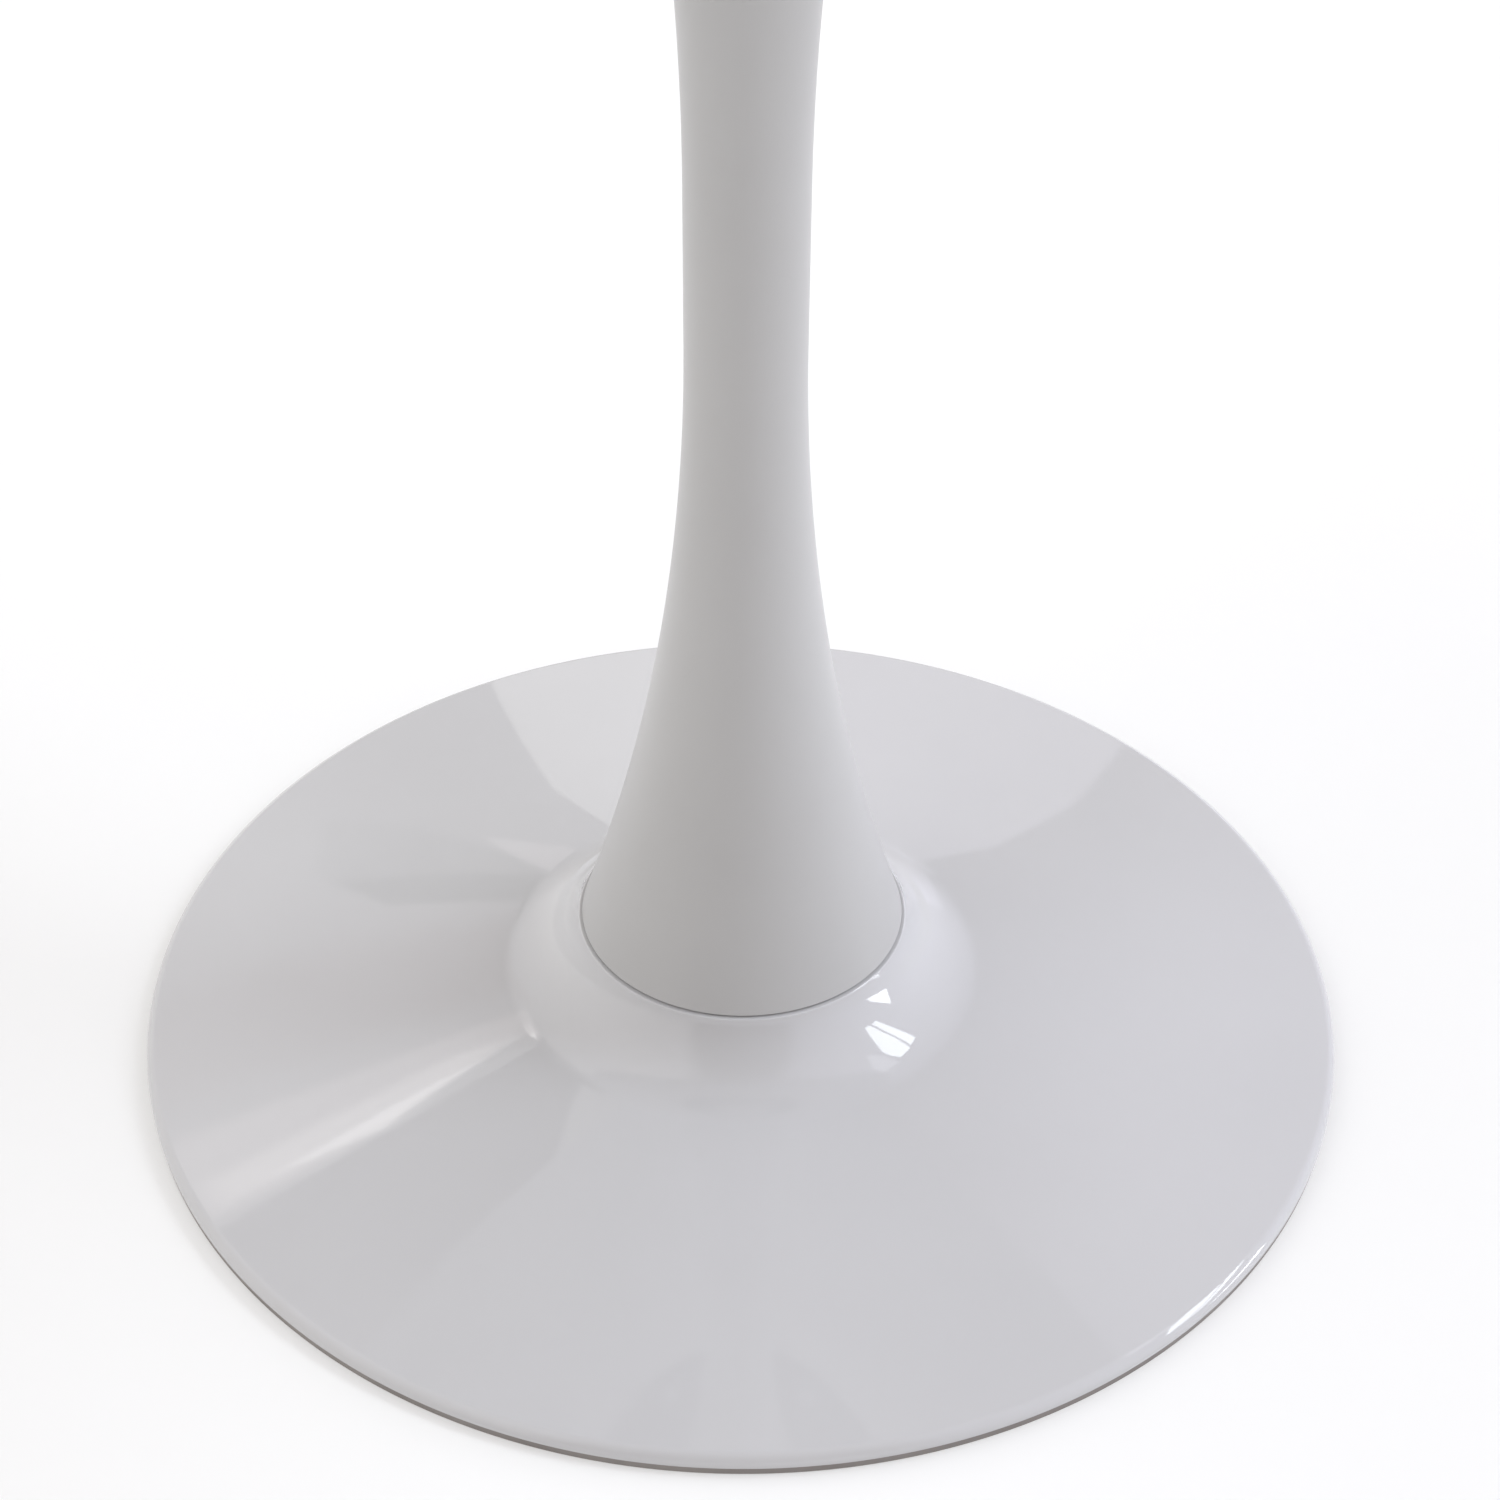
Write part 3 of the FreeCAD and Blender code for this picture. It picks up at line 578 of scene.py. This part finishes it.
def nut(name, node):
    """A hexagon nut with its corners turned off and a countersunk thread."""
    low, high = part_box(node)
    crown = NUT_FLAT * NUT_CROWN
    mouth = ROD_RADIUS + NUT_MOUTH

    def outline(angle):
        side = hexagon(NUT_FLAT, angle)
        drop = (side - crown) * CORNER_SLOPE
        return [
            (ROD_RADIUS, low.z + NUT_MOUTH), (mouth, low.z), (crown, low.z),
            (side, low.z + drop), (side, high.z - drop),
            (crown, high.z), (mouth, high.z), (ROD_RADIUS, high.z - NUT_MOUTH),
        ]

    return lathe(name, outline, ROUND_SEGMENTS)


def tie_rod():
    """The rod, with real screw threads over both ends."""
    low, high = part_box("tie_rod")
    steps = math.ceil(THREAD_LENGTH / THREAD_PITCH * THREAD_STEPS)
    rises = [THREAD_LENGTH * k / steps for k in range(steps + 1)]
    heights = [low.z + rise for rise in rises] + [high.z - rise for rise in rises[::-1]]

    def outline(angle):
        points = []
        for height in heights:
            end = min(height - low.z, high.z - height)
            phase = (height / THREAD_PITCH - angle / math.tau) % 1
            cut = min(max((1 - abs(2 * phase - 1) - THREAD_CREST) / THREAD_FLANK, 0), 1)
            cut *= min((THREAD_LENGTH - end) / THREAD_PITCH, 1)
            chamfered = ROD_RADIUS - ROD_CHAMFER + end
            points.append((min(ROD_RADIUS - THREAD_DEPTH * cut, chamfered), height))
        return [(0, low.z)] + points + [(0, high.z)]

    return lathe("threaded_rod", outline, ROD_SEGMENTS)


def mounting_plate():
    """The plate under the top, its cut edges softened, drilled for its screws."""
    low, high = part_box("mounting_plate")
    plate = lathe("top_plate", rounded([
        (ROD_HOLE, low.z, PLATE_BORE_EDGE), (high.x, low.z, PLATE_EDGE),
        (high.x, high.z, PLATE_EDGE), (ROD_HOLE, high.z, PLATE_BORE_EDGE),
    ]), DISC_SEGMENTS)
    return drill(plate, lathe("screw_holes", [
        (0, low.z - CUT_PAST), (PLATE_SCREW_HOLE, low.z - CUT_PAST),
        (PLATE_SCREW_HOLE, high.z + CUT_PAST), (0, high.z + CUT_PAST),
    ], HOLE_SEGMENTS, PLATE_SCREW_CIRCLE, PIECE_COUNT))


def plate_screws():
    """Hexagon screws, their heads turned off at the corners and dished."""
    low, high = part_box("plate_screws")
    under = low.z + PLATE_SCREW_HEAD
    crown = PLATE_SCREW_FLAT * PLATE_SCREW_CROWN
    dish_floor = low.z + PLATE_SCREW_DISH_DEPTH

    def outline(angle):
        side = hexagon(PLATE_SCREW_FLAT, angle)
        drop = (side - crown) * CORNER_SLOPE
        return [
            (0, dish_floor), (PLATE_SCREW_FLAT * PLATE_SCREW_DISH, dish_floor),
            (PLATE_SCREW_FLAT * PLATE_SCREW_DISH_RIM, low.z), (crown, low.z),
            (side, low.z + drop), (side, under),
            (PLATE_SCREW_SHANK, under), (PLATE_SCREW_SHANK, high.z), (0, high.z),
        ]

    return lathe("hexagon_screws", outline, SMALL_SEGMENTS, PLATE_SCREW_CIRCLE, PIECE_COUNT)


# ---- the object ---------------------------------------------------------------------------------

MATERIALS = {
    "top_lacquer": top_lacquer(),
    "foot_gloss_paint": gloss_paint(),
    "stem_satin_paint": satin_paint(),
    "floor_ring_vinyl": ring_vinyl(),
    "seam_rubber": seam_rubber(),
    "pad_felt": pad_felt(),
    "ballast_black": black_enamel("ballast_black", lumps=0.00008),
    "plate_black": black_enamel("plate_black", lumps=0.00003),
    "zinc_steel": zinc(),
    "insert_brass": brass(),
}
TURNED = {
    "foot_shell": foot_shell,
    "floor_ring": floor_ring,
    "stem_shell": stem_shell,
    "seam_gasket": seam_gasket,
    "table_top": table_top,
    "glide_pads": glide_pads,
    "ballast_plate": ballast_plate,
    "hub_screws": hub_screws,
    "lower_nut": lambda: nut("bottom_nut", "lower_nut"),
    "upper_nut": lambda: nut("top_nut", "upper_nut"),
    "lower_washer": lambda: washers("bottom_washer", "lower_washer", ROD_WASHER_RADIUS, ROD_RADIUS),
    "upper_washer": lambda: washers("top_washer", "upper_washer", ROD_WASHER_RADIUS, ROD_RADIUS),
    "tie_rod": tie_rod,
    "mounting_plate": mounting_plate,
    "plate_screws": plate_screws,
    "plate_flat_washers": lambda: washers(
        "screw_washers", "plate_flat_washers", PLATE_WASHER_RADIUS, PLATE_SCREW_SHANK,
        PLATE_SCREW_CIRCLE, PIECE_COUNT),
}
for subpart in frame["record"]["subparts"]:
    node, slot = subpart["node"], subpart["material_slot"]
    if node in TURNED:
        stand_for(TURNED[node](), node, MATERIALS[slot])
        continue
    slots = frame["nodes"][node].data.materials
    slots.clear()
    slots.append(MATERIALS[slot])


# ---- studio -------------------------------------------------------------------------------------

CAMERA_PLACE = Vector((0, -0.9041, 0.8419))
CAMERA_PITCH = math.radians(38.005)
CAMERA_YAW = math.radians(0.173)
CAMERA_ROLL = math.radians(0.509)
CAMERA_LENS = 69.07
CAMERA_SENSOR = 36

# Each card of light: the corners it is seen at from the table, in degrees of azimuth (0 is behind
# the table, 90 to its right) and of elevation, how soft its edges are in degrees, and its radiance
# in red, green and blue. A card below zero takes light away, as a dark flag in a studio does. It
# takes more than there is in two small spots, down to -0.25: at left_flag's right edge, and where
# dark_tip lies over dark_wedge.
CARDS = {
    "left_side": ([(-150, -5), (-20, -5), (-20, 58), (-150, 58)], 12, (0.98, 1.00, 1.06)),
    "right_side": ([(20, -5), (150, -5), (150, 58), (20, 58)], 12, (0.73, 0.75, 0.93)),
    "behind": ([(150, -5), (210, -5), (210, 60), (150, 60)], 30, (-0.20, -0.20, -0.18)),
    "left_band": ([(-34, 44.3), (-19, 45.2), (-18.6, 46.5), (-24.5, 49.2), (-34, 49.0)], 1.0,
                  (0.85, 0.75, 0.74)),
    "left_gap": ([(-40, 36.5), (-19, 36), (-13, 34.5), (-18, 43), (-40, 42)], 2.5,
                 (-0.22, -0.28, -0.31)),
    "left_flag": ([(-34, 49.7), (-18.1, 48.9), (-17.2, 53.5), (-17.6, 57.5), (-34, 59)], 0.3,
                  (-0.90, -0.90, -0.90)),
    "light_wedge": ([(-13.5, 29.4), (-8.4, 28.5), (-8.4, 31.3), (-11.7, 31.1), (-12.6, 30.9),
                     (-13.3, 30.2)], 0.2, (0.70, 0.63, 0.65)),
    "dark_wedge": ([(-17.8, 29.3), (-19.7, 32.0), (-18.9, 34.1), (-15.3, 33.7), (-11.7, 31.0),
                    (-13.3, 30.3), (-13.6, 29.3)], 0.25, (-0.25, -0.23, -0.25)),
    "dark_tip": ([(-19.7, 32.0), (-18.9, 34.1), (-15.3, 33.7), (-13.4, 32.5), (-11.7, 31.0),
                  (-13.5, 31.4)], 0.3, (-0.38, -0.36, -0.38)),
    "right_pocket": ([(9, -5), (27, -5), (27, 15), (18, 21), (12, 24)], 0.5, (0.45, 0.45, 0.52)),
    "back_left": ([(-9.35, 20), (-9.3, 26.3), (-8.3, 26.9), (-7, 27.5), (0, 28.5), (0, 20)], 0.2,
                  (1.00, 1.00, 0.98)),
    "back_right": ([(0, 18), (14.5, 18), (14.6, 28), (13.5, 29.7), (0, 29.7)], 0.4,
                   (0.75, 0.74, 0.83)),
    "window_outer": ([(58, 55.5), (70, 54.5), (83, 50.8), (93, 43.5), (100, 35), (104.5, 26),
                      (101.5, 25.5), (58, 52)], 0.5, (8.0, 8.6, 9.0)),
    "window_inner": ([(60, 50.8), (79, 43.0), (100, 25.2), (97, 23.5), (61, 47.5)],
                     0.5, (8.0, 8.6, 9.0)),
    "window_foot": ([(85.5, 15), (98, 4), (103, -6), (95, -12), (85, -8)], 0.6, (9, 9.4, 9.6)),
    "cornice": ([(54, 61), (75, 60), (95, 51), (83, 52.5), (54, 57)], 1.0, (1.5, 1.5, 1.6)),
    "streak_glow": ([(-30, 47.4), (-30, 48.8), (-24.5, 49.3), (-20, 47.4), (-22, 46.8)], 0.9,
                    (1.2, 1.15, 1.1)),
    "streak": ([(-28, 48.6), (-24.8, 49.2), (-21.2, 47.9), (-24.5, 48.2)], 0.35, (1.9, 1.9, 1.9)),
    "glint": ([(-19.0, 47.7), (-17.8, 47.5), (-17.2, 49.4), (-18.6, 49.5)], 0.3, (3, 3, 3)),
}
ROOM = (0.49, 0.45, 0.38)
BACKDROP = (0.93, 0.93, 0.93, 1)
LIGHT_MAP_SIZE = 1024


def towards(azimuth, elevation):
    """The direction at an azimuth and an elevation in degrees."""
    azimuth, elevation = math.radians(azimuth), math.radians(elevation)
    level = math.cos(elevation)
    return Vector((math.sin(azimuth) * level, math.cos(azimuth) * level, math.sin(elevation)))


def studio():
    """Soft light from all round: a dim room with the cards in it, behind a pale backdrop."""
    world = bpy.data.worlds.new("studio")
    world.use_nodes = True
    bpy.context.scene.world = world
    nodes, links = world.node_tree.nodes, world.node_tree.links
    nodes.clear()
    world.cycles.sampling_method = "MANUAL"
    world.cycles.sample_map_resolution = LIGHT_MAP_SIZE

    def add(kind, *inputs, output=0, **settings):
        node = nodes.new(kind)
        for name, value in settings.items():
            setattr(node, name, value)
        for socket, value in zip(node.inputs, inputs):
            if isinstance(value, bpy.types.NodeSocket):
                links.new(value, socket)
            else:
                socket.default_value = value
        return node.outputs[output] if output is not None else None

    direction = add("ShaderNodeTexCoord", output="Generated")
    light = add("ShaderNodeCombineXYZ", *ROOM)
    for places, softness, radiance in CARDS.values():
        corners = [towards(*place) for place in places]
        middle = sum(corners, Vector())
        reach = math.radians(softness) / 2
        inside = None
        for corner, following in zip(corners, corners[1:] + corners[:1]):
            inward = corner.cross(following).normalized()
            if inward.dot(middle) < 0:
                inward.negate()
            depth = add("ShaderNodeVectorMath", direction, inward, operation="DOT_PRODUCT",
                        output="Value")
            inside = depth if inside is None else add("ShaderNodeMath", inside, depth,
                                                      operation="MINIMUM")
        shape = add("ShaderNodeMapRange", inside, -reach, reach, interpolation_type="SMOOTHSTEP")
        shapes = add("ShaderNodeCombineXYZ", shape, shape, shape)
        light = add("ShaderNodeVectorMath", shapes, radiance, light, operation="MULTIPLY_ADD")
    lit = add("ShaderNodeBackground", light)
    plain = add("ShaderNodeBackground", BACKDROP)
    seen = add("ShaderNodeLightPath", output="Is Camera Ray")
    add("ShaderNodeOutputWorld", add("ShaderNodeMixShader", seen, lit, plain), output=None)


FLOOR_RADIUS = 9.0
FLOOR_SEGMENTS = 128
FLOOR_GLOW = 0.35


def floor():
    """A pale matt studio floor, lit a little from within so that it stays pale under the table."""
    paint = Paint("studio_floor", Roughness=0.8, Specular_IOR_Level=0.1)
    shade = paint.ramp(paint.noise(0.5), [(0.3, 0.555), (0.7, 0.565)])
    paint.shader.inputs["Emission Color"].default_value = (1, 1, 1, 1)
    paint.shader.inputs["Emission Strength"].default_value = FLOOR_GLOW
    material = paint.link(Base_Color=shade)
    disc = bmesh.new()
    bmesh.ops.create_circle(disc, cap_ends=True, radius=FLOOR_RADIUS, segments=FLOOR_SEGMENTS)
    piece = finish_mesh("studio_floor", disc)
    piece.data.materials.append(material)


def camera():
    """The camera, above and in front of the foot, looking down at it."""
    ahead = Vector((
        math.sin(CAMERA_YAW) * math.cos(CAMERA_PITCH),
        math.cos(CAMERA_YAW) * math.cos(CAMERA_PITCH),
        -math.sin(CAMERA_PITCH),
    ))
    level = Vector((math.cos(CAMERA_YAW), -math.sin(CAMERA_YAW), 0))
    upright = level.cross(ahead)
    across = level * math.cos(CAMERA_ROLL) + upright * math.sin(CAMERA_ROLL)
    turned = Matrix((across, across.cross(ahead), -ahead)).transposed().to_4x4()
    lens = bpy.data.cameras.new("camera")
    lens.lens = CAMERA_LENS
    lens.sensor_width = CAMERA_SENSOR
    eye = bpy.data.objects.new("camera", lens)
    eye.matrix_world = Matrix.Translation(CAMERA_PLACE) @ turned
    bpy.context.scene.collection.objects.link(eye)
    bpy.context.scene.camera = eye


studio()
floor()
camera()
bpy.context.scene.view_settings.view_transform = "Standard"
